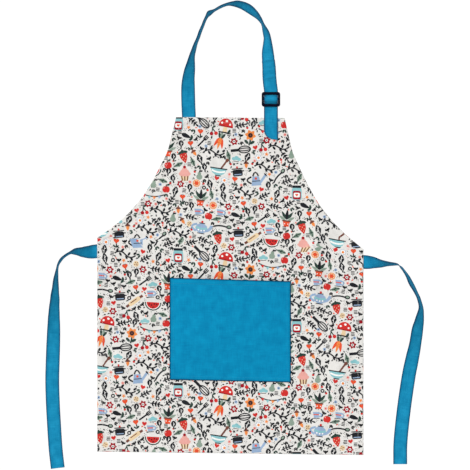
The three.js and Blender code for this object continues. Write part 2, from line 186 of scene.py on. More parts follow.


# A finished piece: its mesh, its finishes and its CAD body
def addPiece(name, bm, materials, sharpFrom=60):
    bmesh.ops.recalc_face_normals(bm, faces=bm.faces)
    for face in bm.faces:
        face.smooth = True
    mesh = meshFrom(bm, name)
    mesh.set_sharp_from_angle(angle=radians(sharpFrom))
    for material in materials:
        mesh.materials.append(material)
    piece = addObject(name, mesh)
    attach(piece, "root")
    return piece


# A closed sheet: a grid with a lower and an upper layer. cutOf gives a grid point's place in the
# flat cloth, placeOf where the cloth lies there, both in mm, and the last function how much painted
# shade darkens its colour, as at an edge or a crease.
def closedSheet(across, along, cutOf, placeOf, paintedShadeOf=None):
    bm = bmesh.new()
    bmesh.ops.create_grid(bm, x_segments=across, y_segments=along, size=1)
    for face in bm.faces:
        face.material_index = 1
    raiseFaces(bm, 1)
    for face in bm.faces:
        if face.calc_center_median().z > 0.9:
            face.material_index = 0
    bm.verts.index_update()
    cut = [(*cutOf(round((v.co.x + 1) / 2 * across), round((v.co.y + 1) / 2 * along)), v.co.z > 0.5)
           for v in bm.verts]
    uvs = bm.loops.layers.uv.new("cloth")
    for face in bm.faces:
        for loop in face.loops:
            s, t, upper = cut[loop.vert.index]
            loop[uvs].uv = (s * mm, t * mm)
    # The "edge" layer holds how much painted shade darkens each point
    edges = bm.verts.layers.float.new("edge") if paintedShadeOf else None
    for vert in bm.verts:
        s, t, upper = cut[vert.index]
        vert.co = placeOf(s, t, upper) * mm
        if paintedShadeOf:
            vert[edges] = paintedShadeOf(s, t)
    return bm


def smooth(share):
    t = min(max(share, 0), 1)
    return t * t * (3 - 2 * t)


# A soft hump, one high at its middle
def hump(off, breadth):
    return exp(-((off / breadth) ** 2))


# Unevenness with its size across and along. Each use reads a layer of its own.
def uneven(s, t, across, along, layer):
    return noise.noise(Vector((s / across, t / along, layer)))


# Even steps between two values, none over the longest
def steps(start, end, longest):
    count = max(1, ceil(abs(end - start) / longest))
    return [start + (end - start) * k / count for k in range(count + 1)]


# The same with closer steps at both ends, as a rim has them
def rimmedSteps(start, end, rim, longest):
    return [*(start + d for d in rim[:-1]), *steps(start + rim[-1], end - rim[-1], longest),
            *(end - d for d in rim[-2::-1])]


# Reads a table of (place, value) rows smoothly
def follow(table, at):
    last = len(table) - 1
    i = next((k - 1 for k in range(1, last) if table[k][0] > at), last - 1)

    def slope(k):
        (a, low), (b, high) = table[max(k - 1, 0)], table[min(k + 1, last)]
        return (high - low) / (b - a)

    (a, low), (b, high) = table[i], table[i + 1]
    t = min(max((at - a) / (b - a), 0), 1)
    bend = t * (1 - t) ** 2 * slope(i) + t * t * (t - 1) * slope(i + 1)
    return low + (high - low) * smooth(t) + (b - a) * bend


# The cut of the body and how it lies, in mm. s runs across from its middle, t up from the hem.
body = {
    "width": 490, "length": 618, "bib": 200, "drop": 232, "cloth": 1.0, "hem": 2.0,
    "hemWidth": 12, "hemRamp": 2, "skew": 21, "foldHeight": 6, "ease": 17, "fade": 30, "gap": 0.3,
    # how far down the armhole, how far out from the bib's corner
    "armhole": [(0, 0), (0.14, 0.053), (0.26, 0.101), (0.36, 0.171), (0.54, 0.317), (0.7, 0.482),
                (0.86, 0.72), (1, 1)],
    # how far up the apron, the share of the skew by which its right side lies lower
    "skewShares": [(0, 0.3), (0.22, 0.5), (0.51, 0.68), (0.6246, 1), (1, 0.2)],
    # across, up, length, breadth, turn in degrees, height
    "folds": [(0.314, 0.548, 0.4, 0.03, 2, 1), (-0.3, 0.45, 0.44, 0.055, -7, 0.5),
              (0.4, 0.24, 0.3, 0.035, 6, 0.55), (-0.41, 0.2, 0.26, 0.03, -5, 0.45),
              (0.02, 0.72, 0.2, 0.05, 55, 0.45), (-0.02, 0.12, 0.14, 0.05, 80, 0.4)],
}
pocket = {
    "width": 223, "height": 187, "aboveHem": 133, "puff": 9, "mouthHem": 10, "sideFullness": 2.6,
    "footFullness": 3, "creaseHeight": 3.4, "seamWidth": 6, "seamThickness": 0.5, "shadedEdge": 1.9,
    "rim": [0, 0.3, 0.8, 1.6, 2.4, 3.2, 4.6], "step": 2.6, "mouthStep": 2.2,
    # height, size across and along, layer
    "ripples": [(0.9, 42, 26, 1.3), (0.4, 11, 23, 4)],
    # as the body's folds, from the pocket's foot
    "creases": [(-0.26, 0.36, 0.52, 0.045, -55, 1), (0.25, 0.78, 0.36, 0.05, -34, -0.7)],
}
strap = {
    "width": 25.5, "thickness": 1.2, "tuck": 15, "inset": 11.1, "belowWaist": 24, "tail": 40,
    "rowStep": 2.4, "columnStep": 3.2, "edgeColumns": [0, 0.2, 0.6, 1.3, 2, 2.7, 3.6],
    "endRows": [1.2, 0.6, 0.2], "tieHem": 11, "hemRise": 0.9, "groove": 0.14, "shadedEdge": 2.4,
    # height, size across and along, layer
    "unevenness": 1.1, "unevenSize": (26, 19, 5.1),
    # how far from the tail's end, height
    "wrinkles": [(155, 1.2), (123, 1.5), (141, -0.7), (100, 0.8)], "wrinkleBreadth": 2.2,
}
waist = body["length"] - body["drop"]
skirtHalf = body["width"] / 2
strapHalf = strap["width"] / 2
tieRoot = waist - strap["belowWaist"]
neckRoot = strap["inset"] + strapHalf - body["bib"] / 2
layer = strap["thickness"] + body["gap"]
buckleLow, buckleHigh = (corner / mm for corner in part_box("slide_buckle"))
tabLow, tabHigh = (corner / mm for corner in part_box("buckle_tab"))
panelLow, panelHigh = (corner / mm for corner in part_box("apron_panel"))

# The cut is measured from the middle of its hem
hemMiddle = ((panelLow.x + panelHigh.x) / 2, panelLow.y + body["skewShares"][0][1] * body["skew"] / 2)
tabMiddle = (tabLow.x + tabHigh.x) / 2 - hemMiddle[0]


def lie(s, t):
    share = follow(body["skewShares"], t / body["length"])
    return hemMiddle[0] + s, hemMiddle[1] + t - s / body["width"] * body["skew"] * share


def halfWidth(t):
    down = min(max((body["length"] - t) / body["drop"], 0), 1)
    return body["bib"] / 2 + (body["width"] - body["bib"]) / 2 * follow(body["armhole"], down)


# How much longer the slanted edge is than its rise
def slant(t):
    return hypot(1, (halfWidth(t - 1) - halfWidth(t + 1)) / 2) if t > waist else 1


def ridge(fold, s, t, width, length):
    across, up, long, broad, turn, height = fold
    dx, dy, turn = s - across * width, t - up * length, radians(turn)
    along = dx * sin(turn) + dy * cos(turn)
    aside = dx * cos(turn) - dy * sin(turn)
    return height * hump(aside, broad * width) * smooth(1.5 - abs(along) * 3 / (long * length))


def outside(s, t, left, right, foot, top):
    return hypot(max(left - s, s - right, 0), max(foot - t, t - top, 0))


pocketBox = (-pocket["width"] / 2, pocket["width"] / 2, pocket["aboveHem"],
             pocket["aboveHem"] + pocket["height"])
neckBox = (neckRoot - strapHalf, neckRoot + strapHalf, body["length"] - strap["tuck"], body["length"])
tabBox = (tabMiddle - strapHalf, tabMiddle + strapHalf, body["length"] - strap["tail"], body["length"])
tieBoxes = [(side * skirtHalf - strap["tuck"], side * skirtHalf + strap["tuck"],
             tieRoot - strapHalf, tieRoot + strapHalf) for side in (-1, 1)]
tabTuck = (*tabBox[:2], *neckBox[2:])


# The height of the body's underside over what it lies on
def bodyUnderside(s, t):
    flatHem = smooth((t - body["hemWidth"] - body["hemRamp"]) / (4 * body["hemWidth"]))
    underPocket = smooth((outside(s, t, *pocketBox) - body["ease"]) / body["fade"])
    folds = sum(ridge(fold, s, t, body["width"], body["length"]) for fold in body["folds"])
    roots = [(neckBox, layer), (tabTuck, layer + strap["thickness"]), *((box, layer) for box in tieBoxes)]
    lift = max(high * smooth(1 - (outside(s, t, *box) - body["ease"]) / body["fade"])
               for box, high in roots)
    return lift + body["foldHeight"] * folds * flatHem * underPocket


# How far each layer closes towards a rounded edge
def edgeRound(inward, radius):
    if inward >= radius:
        return 0
    return 0.92 * (radius - sqrt(radius * radius - (radius - inward) ** 2))


def inwardOf(s, t):
    return min((halfWidth(t) - abs(s)) / slant(t), t, body["length"] - t)


def bodyThickness(inward):
    hem = 1 - smooth((inward - body["hemWidth"]) / body["hemRamp"])
    return body["cloth"] + (body["hem"] - body["cloth"]) * hem


# Fine unevenness of sewn and folded cotton, none where something lies on it or under it
rumple = {"softSize": (46, 61, 3.7), "softFrom": 6, "softOver": 30, "seamSize": (9, 9, 8.1),
          "seamHeight": 0.35, "seamAt": 8, "calmFrom": 2, "calmOver": 16}


def clothGrain(s, t, inward):
    soft = uneven(s, t, *rumple["softSize"]) * smooth((inward - rumple["softFrom"]) / rumple["softOver"])
    nearSeam = smooth(1 - abs(inward - rumple["seamAt"]) / rumple["seamAt"])
    seam = uneven(s, t, *rumple["seamSize"]) * rumple["seamHeight"] * nearSeam
    calm = min(smooth((outside(s, t, *box) - rumple["calmFrom"]) / rumple["calmOver"])
               for box in (pocketBox, neckBox, tabBox, *tieBoxes))
    return (max(soft, 0) + max(seam, 0)) * calm


def bodyTop(s, t):
    inward = max(inwardOf(s, t), 0)
    return bodyUnderside(s, t) + clothGrain(s, t, inward) + bodyThickness(inward)


# The body's grid: its columns and rows, with closer ones in the turned hem
panelStep = 3.4
panelRim = [0, 0.35, 1, 4.5, 8.5, 12, 14]
panelShares = [2 * share - 1 for share in steps(0, 1, panelStep / body["width"])]
panelAcross = len(panelShares) - 1 + 2 * (len(panelRim) - 1)
panelRows = [*panelRim[:-1], *steps(panelRim[-1], waist, panelStep)[:-1],
             *steps(waist, body["length"] - panelRim[-1], panelStep),
             *(body["length"] - d for d in panelRim[-2::-1])]


def panelCut(i, j):
    t, count = panelRows[j], len(panelRim) - 1
    half, edge = halfWidth(t), slant(t)
    if i < count:
        return panelRim[i] * edge - half, t
    if i > panelAcross - count:
        return half - panelRim[panelAcross - i] * edge, t
    return panelShares[i - count] * (half - panelRim[-1] * edge), t


def panelPlace(s, t, upper):
    inward = max(inwardOf(s, t), 0)
    thick = bodyThickness(inward)
    low = bodyUnderside(s, t) + clothGrain(s, t, inward)
    pinch = edgeRound(inward, thick / 2)
    return Vector((*lie(s, t), low + (thick - pinch if upper else pinch)))


def makePanel():
    bm = closedSheet(panelAcross, len(panelRows) - 1, panelCut, panelPlace)
    return addPiece("apron_body", bm, [whiteCotton, backCotton])


panel = makePanel()
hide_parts("apron_panel")
print("body made")

# The print: kitchen and garden motifs scattered over the cloth in a repeat, each an ink film as
# thin as the tool can keep it. Every ink runs from its darker to its lighter yarns.
inks = {
    "charcoal": ((0.005, 0.006, 0.009), (0.019, 0.021, 0.026)),
    "black": ((0.003, 0.0035, 0.005), (0.013, 0.014, 0.017)),
    "darkGreen": ((0.014, 0.036, 0.028), (0.03, 0.062, 0.048)),
    "sage": ((0.2, 0.28, 0.22), (0.3, 0.38, 0.31)),
    "red": ((0.5, 0.018, 0.018), (0.66, 0.038, 0.03)),
    "crimson": ((0.26, 0.004, 0.01), (0.38, 0.01, 0.02)),
    "redOrange": ((0.66, 0.06, 0.02), (0.8, 0.1, 0.035)),
    "orange": ((0.72, 0.2, 0.045), (0.86, 0.29, 0.08)),
    "pink": ((0.7, 0.32, 0.28), (0.84, 0.42, 0.37)),
    "dustyBlue": ((0.24, 0.35, 0.52), (0.33, 0.45, 0.63)),
    "paleTeal": ((0.2, 0.46, 0.49), (0.29, 0.57, 0.6)),
    "beige": ((0.72, 0.53, 0.31), (0.84, 0.66, 0.42)),
    "brown": ((0.13, 0.04, 0.03), (0.2, 0.075, 0.05)),
    "paper": ((0.84, 0.83, 0.8), (0.93, 0.92, 0.89)),
}
prints = {"across": 218, "up": 246, "drop": 0.5, "scale": 0.88, "bold": 1.7, "plump": 1.45, "gap": 0.4,
          "seed": 7, "cell": 2, "tries": 120, "lowest": 0.02, "film": 0.05, "perMark": 0.018,
          "bowStep": 5, "smallDisc": 3, "smallLeaf": 6, "smallRing": 7, "reach": 26, "repeats": (2, 3)}


# A motif's marks, drawn one over the other in mm: their kind, their ink and where each one goes. A
# line has start, end, breadth and perhaps a bow, a ring has middle, across, up and breadth, and every
# other mark has middle, across, up and perhaps a turn. With each motif: its room's radius and half
# length, how far it may turn and how often it comes.
motifs = {
    "teapot": ((17, 3, 9, 1), [
        ("line", "dustyBlue", (9, -5, 20, 8, 3.6, -3), (-10, 7, -11, -8, 2.6, -10)),
        ("disc", "dustyBlue", (0, -1, 26, 21)), ("box", "charcoal", (0, -11.8, 15, 1.8)),
        ("line", "paleTeal", (-12, 1, 12, 1, 2.4, -3)), ("disc", "paper", (-6, -5, 3.4, 3.4),
         (0, -6, 3.4, 3.4), (6, -5, 3.4, 3.4)), ("box", "charcoal", (0, 9.8, 12, 1.7)),
        ("disc", "red", (0, 12.6, 5, 5))]),
    "cupcake": ((16, 0, 10, 1), [
        ("cup", "beige", (0, -8, 20, 14)), ("line", "brown", (-5, -14.4, -6.8, -2, 1.4),
         (0, -14.8, 0, -2, 1.4), (5, -14.4, 6.8, -2, 1.4)), ("disc", "pink", (0, 0, 26, 11),
         (0, 5, 19, 10), (0, 9.6, 11, 8)), ("disc", "crimson", (0, 14.4, 6.5, 6.5))]),
    "bowl": ((17, 4, 8, 1), [
        ("line", "brown", (4, -2, 14, 16, 2.2)), ("disc", "brown", (15.5, 18, 7, 9, -30)),
        ("bowl", "paleTeal", (0, -1, 33, 30)), ("box", "charcoal", (0, -1, 36, 2.4), (0, -16.4, 12, 2)),
        ("line", "paper", (-14, -6, 14, -6, 2, -3))]),
    "toadstool": ((15, 0, 12, 1), [
        ("cup", "beige", (0, -7, 10, 16, 180)), ("dome", "red", (0, -2, 31, 34)),
        ("box", "crimson", (0, -2, 30, 2.2)), ("disc", "paper", (-8.5, 4.5, 4.6, 4.6),
         (0.5, 9.5, 5.4, 4.8), (8.5, 3.5, 4.2, 4.2)),
        ("line", "charcoal", (-11, -15.4, 11, -15.4, 1.6, 0.6)),
        ("leaf", "darkGreen", (9, -11, 10, 4, 65))]),
    "carrots": ((16, 0, 20, 1), [
        ("leaf", "darkGreen", (-4, 13, 14, 4.4, 112)), ("leaf", "sage", (0, 14.5, 15, 4.4, 90)),
        ("leaf", "darkGreen", (4, 13, 14, 4.4, 68)), ("drop", "redOrange", (-6, -3, 22, 8.5, 72),
         (6, -3, 22, 8.5, 108)), ("drop", "orange", (0, -4, 26, 9, 90)),
        ("box", "redOrange", (0.6, 2, 4, 1.1), (-0.8, -2, 4, 1.1))]),
    "strawberry": ((13, 0, 22, 2), [
        ("drop", "red", (0, -2.5, 25, 21, 90)), ("leaf", "darkGreen", (-5.4, 8.4, 12, 5, 200),
         (5.4, 8.4, 12, 5, -20), (0, 10, 10, 4.6, 90)), ("disc", "beige", (-4.6, 2, 1.7, 2.6),
         (4.6, 2, 1.7, 2.6), (0, -1, 1.7, 2.6), (-3.4, -5, 1.6, 2.4), (3.2, -5.4, 1.6, 2.4),
         (0, -9, 1.5, 2.2))]),
    "jar": ((15, 0, 8, 1), [
        ("pad", "paleTeal", (0, -3, 21, 26)), ("pad", "crimson", (0, -5.6, 17, 18)),
        ("pad", "paper", (0, -5.4, 13, 9.5)), ("heart", "redOrange", (0, -5.2, 6.4, 6)),
        ("box", "charcoal", (0, 11.6, 19, 5))]),
    "potPlant": ((16, 0, 6, 2), [
        ("leaf", "sage", (-9, 0, 17, 6, 150), (9, 0, 17, 6, 30)),
        ("leaf", "darkGreen", (-6, 6, 20, 6.4, 125), (6, 6, 20, 6.4, 55)),
        ("leaf", "charcoal", (0, 8, 22, 6.6, 90)), ("cup", "redOrange", (0, -11, 15, 11)),
        ("box", "brown", (0, -5, 18, 3)), ("disc", "paper", (-3.4, -11, 2.6, 2.6),
         (3.4, -11, 2.6, 2.6))]),
    "sunflower": ((16, 0, 15, 1), [
        ("line", "darkGreen", (0, 2, 1, -16, 2, 1.4)), ("leaf", "darkGreen", (6.4, -9, 13, 5.4, 38),
         (-5.4, -10, 12, 5, 146)), ("petals", "orange", (0, 5, 24, 24)),
        ("disc", "brown", (0, 5, 10.5, 10.5)), ("ring", "charcoal", (0, 5, 6, 6, 1.2))]),
    "melon": ((13, 4, 25, 1), [
        ("bowl", "darkGreen", (0, 7, 35, 35)), ("bowl", "paper", (0, 7, 30, 30)),
        ("bowl", "red", (0, 7, 27, 27)), ("leaf", "charcoal", (-8, 3, 3.4, 2.4, 90),
         (-2.8, 1, 3.4, 2.4, 90), (2.8, 3.4, 3.4, 2.4, 90), (8, 2.6, 3.4, 2.4, 90),
         (0.5, -3.4, 3.4, 2.4, 90))]),
    "wateringCan": ((17, 4, 7, 1), [
        ("line", "dustyBlue", (8, -7, 21, 8, 3)), ("disc", "charcoal", (21, 8.6, 3.4, 8, 40)),
        ("line", "charcoal", (-9, 6, -10, -8, 2, -9)), ("cup", "dustyBlue", (0, -3, 21, 19, 180)),
        ("box", "charcoal", (0, -3.2, 17, 1.5)), ("line", "charcoal", (-6, 7, 6, 7, 1.8, 8)),
        ("disc", "redOrange", (0, 2, 5, 5))]),
    "pot": ((12, 2, 8, 2), [
        ("pad", "charcoal", (0, -2.6, 21, 14)), ("box", "charcoal", (0, 6, 23, 2.2)),
        ("disc", "red", (0, 9, 4.4, 4.4)), ("box", "charcoal", (0, 0.6, 28, 2.4)),
        ("box", "dustyBlue", (0, -6, 15, 1.8))]),
    "aubergine": ((8, 4, 30, 2), [
        ("drop", "charcoal", (-2, 0, 22, 12, 180)), ("disc", "darkGreen", (8.6, 0, 4, 6)),
        ("leaf", "darkGreen", (9, 3, 9, 4, 130), (9, -3, 9, 4, 230))]),
    "fork": ((5, 11, 80, 2), [
        ("line", "charcoal", (-16, 0, 4, 0, 2)), ("box", "charcoal", (5, 0, 3, 7.6)),
        ("line", "charcoal", (6, -3, 14, -3, 1.3), (6, 0, 14, 0, 1.3), (6, 3, 14, 3, 1.3))]),
    "herb": ((8, 3, 25, 9), [
        ("leaf", "charcoal", (0, 1, 20, 13, 90)), ("line", "charcoal", (0, -7, 0, -12, 1.6)),
        ("line", "paper", (0, 7, 0, -7, 0.6), (0, 2, 3, 4.4, 0.6), (0, -2.6, -3, -0.2, 0.6))]),
    "whisk": ((7, 15, 70, 2), [
        ("line", "charcoal", (-21, 0, -4, 0, 3.4)), ("ring", "charcoal", (8, 0, 25, 14, 1.4),
         (8, 0, 25, 5.4, 1.3))]),
    "rollingPin": ((6, 16, 50, 1), [
        ("line", "brown", (-21, 0, 21, 0, 3)), ("pad", "beige", (0, 0, 28, 9.4)),
        ("line", "brown", (-9, 1.6, 7, 1.6, 1.1))]),
    "bunting": ((7, 17, 6, 1), [
        ("line", "charcoal", (-25, 5, 25, 5, 1.4, -6)), ("flag", "red", (-16, -0.4, 9, 9, 14)),
        ("flag", "paleTeal", (-5.4, -3, 9, 9, 5)), ("flag", "orange", (5.4, -3, 9, 9, -5)),
        ("flag", "dustyBlue", (16, -0.4, 9, 9, -14))]),
    "vine": ((7.5, 14, 14, 5), [
        ("line", "charcoal", (-22, 0, 0, 0, 1.7, 5), (0, 0, 22, 0, 1.7, -5)),
        ("leaf", "charcoal", (-17, 6.4, 9, 4, 70), (-10, -0.6, 9, 4, -55), (-6, 8, 9, 4, 50),
         (3, -5.4, 9, 4, -65), (8, 1.6, 9, 4, 60), (14, -7.6, 9, 4, -50), (20, 3.8, 8, 4, 40))]),
    "ladle": ((5, 13, 80, 2), [
        ("line", "charcoal", (-18, 0, 8, 0, 1.9, 2)), ("disc", "charcoal", (13, 0, 12, 8.4)),
        ("disc", "sage", (13.4, 0.4, 7, 4.4))]),
    "sprig": ((6, 7, 60, 12), [
        ("line", "charcoal", (-12, 0, 12, 0, 1.4, 1)), ("leaf", "charcoal", (-6, 3.4, 7, 3, 55),
         (-6, -2.8, 7, 3, -55), (0, 4, 7, 3, 55), (0, -2.2, 7, 3, -55), (6, 3.4, 7, 3, 50),
         (6, -2.6, 7, 3, -50), (12.4, 0, 7, 3))]),
    "greenLeaf": ((5, 5, 80, 8), [
        ("leaf", "sage", (0, 0, 20, 10)), ("line", "darkGreen", (-12, 0, 9, 0, 1.3, 0.6),
         (-3, 0, 1, 3.4, 1), (-3, 0, 1, -3.4, 1))]),
    "apple": ((8.5, 0, 20, 3), [
        ("disc", "red", (-2.6, -1, 10.5, 14), (2.6, -1, 10.5, 14)),
        ("line", "brown", (0, 4.6, 1.4, 10, 1.6)), ("leaf", "darkGreen", (4.8, 9, 7.5, 3.6, 20)),
        ("disc", "pink", (-4.4, 2, 2, 3.6))]),
    "slice": ((8.5, 0, 80, 2), [
        ("disc", "orange", (0, 0, 16, 16)), ("disc", "beige", (0, 0, 12.6, 12.6)),
        ("petals", "redOrange", (0, 0, 11.4, 11.4))]),
    "pear": ((8.5, 0, 20, 3), [
        ("disc", "sage", (0, -3.6, 13, 12), (0, 2.6, 7.6, 10)),
        ("line", "charcoal", (0, 6.4, 1.4, 11, 1.5)), ("leaf", "charcoal", (4, 9, 6, 3, 25))]),
    "bloom": ((8.5, 0, 80, 6), [
        ("petals", "crimson", (0, 0, 17, 17)), ("disc", "paper", (0, 0, 6, 6)),
        ("disc", "charcoal", (0, 0, 3, 3))]),
    "poppy": ((8, 2, 15, 6), [
        ("line", "charcoal", (0, 0, 0, -10, 1.4, 1)), ("leaf", "darkGreen", (3.4, -7, 7, 3, 45),
         (-3.4, -7, 7, 3, 135)), ("heart", "redOrange", (0, 4, 12, 11)),
        ("box", "charcoal", (0, 8, 5, 1.2))]),
    "cherries": ((8.5, 0, 15, 3), [
        ("line", "darkGreen", (0, 9, -4, -2, 1.3, 1), (0, 9, 5, -3, 1.3, -1)),
        ("leaf", "darkGreen", (4, 9.4, 8, 3.6, 12)), ("disc", "crimson", (-4.4, -4, 8, 8)),
        ("disc", "red", (5, -5, 8, 8))]),
    "cup": ((8.5, 1, 10, 3), [
        ("ring", "dustyBlue", (7.6, 0, 7, 7.4, 1.7)), ("cup", "dustyBlue", (0, 0, 14, 12)),
        ("box", "charcoal", (0, -7.4, 15, 1.5)), ("box", "redOrange", (0, 0.6, 12, 2))]),
    "egg": ((7.5, 0, 60, 2), [
        ("petals", "dustyBlue", (0, 0, 15, 15)), ("petals", "paper", (0, 0, 12.6, 12.6)),
        ("disc", "orange", (0.4, 0, 5.6, 5.6))]),
    "acorn": ((7, 0, 40, 4), [
        ("drop", "orange", (0, -2.4, 11, 9, 90)), ("dome", "brown", (0, 1.6, 11.5, 10)),
        ("line", "brown", (0, 6, 0.8, 9.4, 1.6))]),
    "biscuit": ((6.5, 0, 80, 3), [
        ("disc", "beige", (0, 0, 12, 12)), ("disc", "brown", (-3, 0.4, 2.6, 2.6), (0, 3.4, 2.4, 2.4),
         (3, 0.2, 2.6, 2.6), (-0.6, -3.2, 2.4, 2.4), (0.2, 0, 2, 2))]),
    "cloud": ((6, 4, 6, 3), [
        ("disc", "paleTeal", (-5, 0, 9, 7), (0.4, 2, 10, 9), (5.6, 0, 9, 7)),
        ("box", "charcoal", (0, -5, 12, 1.2))]),
    "bush": ((7, 0, 12, 12), [
        ("disc", "charcoal", (0, 3, 11, 13)), ("line", "charcoal", (0, -2, 0, -8, 1.7)),
        ("line", "paper", (0, 6, 0, -2, 0.6), (0, 1, 2.6, 3.4, 0.6))]),
    "heart": ((5.5, 0, 25, 6), [("heart", "red", (0, 0, 10.5, 10))]),
    "star": ((5, 0, 40, 5), [("star", "orange", (0, 0, 10, 10))]),
    "darkStar": ((4, 0, 40, 9), [("star", "black", (0, 0, 8, 8))]),
    "shoot": ((5, 0, 50, 32), [
        ("line", "black", (0, -5, 0, 3, 1.3)), ("leaf", "black", (-2.8, 0.6, 7, 3.2, 130),
         (2.8, 0.6, 7, 3.2, 50))]),
    "bars": ((4.6, 0, 12, 22), [("box", "black", (0, 3, 7.6, 1.7), (0, 0, 7.6, 1.7), (0, -3, 7.6, 1.7))]),
    "twin": ((4.4, 0, 80, 14), [("leaf", "darkGreen", (-2.2, 0, 8, 3.4, 70), (2.2, 0, 8, 3.4, 110))]),
    "hoop": ((4, 0, 10, 8), [("ring", "black", (0, 0, 6.4, 6.4, 1.5))]),
    "chevron": ((4, 0, 60, 22), [
        ("line", "black", (-3.4, -1.6, 0, 1.6, 1.4), (0, 1.6, 3.4, -1.6, 1.4),
         (-3.4, -4.4, 0, -1.2, 1.4), (0, -1.2, 3.4, -4.4, 1.4))]),
    "floret": ((4, 0, 70, 9), [("petals", "pink", (0, 0, 8, 8)), ("disc", "red", (0, 0, 2.8, 2.8))]),
    "blueFloret": ((4, 0, 70, 7), [
        ("petals", "dustyBlue", (0, 0, 8, 8)), ("disc", "charcoal", (0, 0, 2.6, 2.6))]),
    "berry": ((3, 0, 40, 12), [
        ("disc", "red", (0, 0, 5.2, 5.2)), ("leaf", "darkGreen", (0, 3, 5, 2.4, 20))]),
    "seeds": ((3, 0, 80, 60), [
        ("disc", "black", (-1.8, -1, 1.7, 1.7), (1.8, -1, 1.7, 1.7), (0, 2, 1.7, 1.7))]),
    "dash": ((2.2, 0, 80, 120), [("line", "black", (-2, 0, 2, 0, 1.3, 0.6))]),
    "redDash": ((2, 0, 80, 22), [("line", "redOrange", (-1.8, 0, 1.8, 0, 1.3, 0.4))]),
    "dot": ((1.4, 0, 0, 190), [("disc", "black", (0, 0, 1.9, 1.9))]),
    "sageDot": ((1.5, 0, 0, 34), [("disc", "sage", (0, 0, 2.4, 2.4))]),
    "pinkDot": ((1.5, 0, 0, 26), [("disc", "pink", (0, 0, 2.4, 2.4))]),
}


# Outlines round a mark's middle: how many points, whether it is hollow anywhere and where a point goes
def corner(a):
    return sqrt(2) * cos(a + pi / 4), sqrt(2) * sin(a + pi / 4)


def cupPoint(a):
    x, y = corner(a)
    return x * (0.82 + 0.18 * y), y


def padPoint(a):
    return tuple(abs(w) ** 0.4 * (1 if w > 0 else -1) for w in (cos(a), sin(a)))


def heartPoint(a):
    return sin(a) ** 3, (13 * cos(a) - 5 * cos(2 * a) - 2 * cos(3 * a) - cos(4 * a)) / 15


def starPoint(a):
    reach = 0.42 if round(a * 5 / pi) % 2 else 1
    return reach * sin(a), reach * cos(a)


def petalPoint(a):
    reach = 0.82 + 0.18 * cos(6 * a)
    return reach * cos(a), reach * sin(a)


outlines = {
    "disc": (10, False, lambda a: (cos(a), sin(a))),
    "leaf": (8, False, lambda a: (cos(a), sin(a) * abs(sin(a)))),
    "drop": (12, True, lambda a: (cos(a), sin(a) * sqrt(0.5 + 0.5 * cos(a)))),
    "dome": (9, False, lambda a: (cos(a * 9 / 16), sin(a * 9 / 16))),
    "bowl": (9, False, lambda a: (cos(a * 9 / 16), -sin(a * 9 / 16))),
    "box": (4, False, corner),
    "cup": (4, False, cupPoint),
    "pad": (16, False, padPoint),
    "flag": (3, False, lambda a: (sin(a), -cos(a))),
    "heart": (18, True, heartPoint),
    "star": (10, True, starPoint),
    "petals": (24, True, petalPoint),
}


# A filled outline: one face, or triangles round its middle where it is hollow, with its points moved
def fillMark(bm, kind, x, y, across, up, turn=0):
    points, hollow, pointAt = outlines[kind]
    if kind == "disc" and across < prints["smallDisc"]:
        points = 6
    if kind == "leaf" and up < prints["smallLeaf"]:
        points, up = 6, up * prints["plump"]
    made = bmesh.ops.create_circle(bm, cap_ends=True, cap_tris=hollow, segments=points, radius=1)["verts"]
    made.sort(key=lambda v: (v.co.length > 0.5, atan2(v.co.y, v.co.x)))
    for k, vert in enumerate(made):
        vert.co = Vector((*(pointAt(2 * pi * k / points) if k or not hollow else (0, 0)), 0))
    place = Matrix.Translation((x, y, 0)) @ Matrix.Rotation(radians(turn), 4, "Z")
    bmesh.ops.transform(bm, matrix=place @ Matrix.Diagonal((across / 2, up / 2, 1, 1)), verts=made)
    return made


# A stroke: a strip of one or more quads along a path
def strokeMark(bm, pathAt, count, wide):
    kept, wide = set(bm.verts), wide * prints["bold"]
    bmesh.ops.create_grid(bm, x_segments=count, y_segments=1, size=1)
    made = [v for v in bm.verts if v not in kept]
    for vert in made:
        share = (vert.co.x + 1) / 2
        ahead = (pathAt(share + 0.01) - pathAt(share - 0.01)).normalized()
        vert.co = pathAt(share) + Vector((-ahead.y, ahead.x, 0)) * (wide / 2 if vert.co.y > 0 else -wide / 2)
    bmesh.ops.remove_doubles(bm, verts=made, dist=0.01)
    return [v for v in made if v.is_valid]


def lineMark(bm, x1, y1, x2, y2, wide, bow=0):
    start, end = Vector((x1, y1, 0)), Vector((x2, y2, 0))
    side = (end - start).normalized() * bow
    side = Vector((-side.y, side.x, 0))
    count = 2 + round((end - start).length / prints["bowStep"]) if bow else 1
    return strokeMark(bm, lambda u: start.lerp(end, u) + side * 4 * u * (1 - u), count, wide)


def ringMark(bm, x, y, across, up, wide):
    middle, count = Vector((x, y, 0)), 8 if across < prints["smallRing"] else 16
    return strokeMark(bm, lambda u: middle + Vector(
        (across / 2 * cos(2 * pi * u), up / 2 * sin(2 * pi * u), 0)), count, wide)


# Each motif once for each of its inks. A mark's height is its number in the drawing.
def drawMotif(marks):
    drawn, number = {}, 0
    for kind, ink, *places in marks:
        bm = drawn[ink] if ink in drawn else bmesh.new()
        drawn[ink] = bm
        draw = {"line": lineMark, "ring": ringMark}.get(kind)
        for place in places:
            made = draw(bm, *place) if draw else fillMark(bm, kind, *place)
            for vert in made:
                vert.co = Vector((vert.co.x * prints["scale"], vert.co.y * prints["scale"], number))
            number += 1
    return {ink: meshFrom(bm, "mark") for ink, bm in drawn.items()}


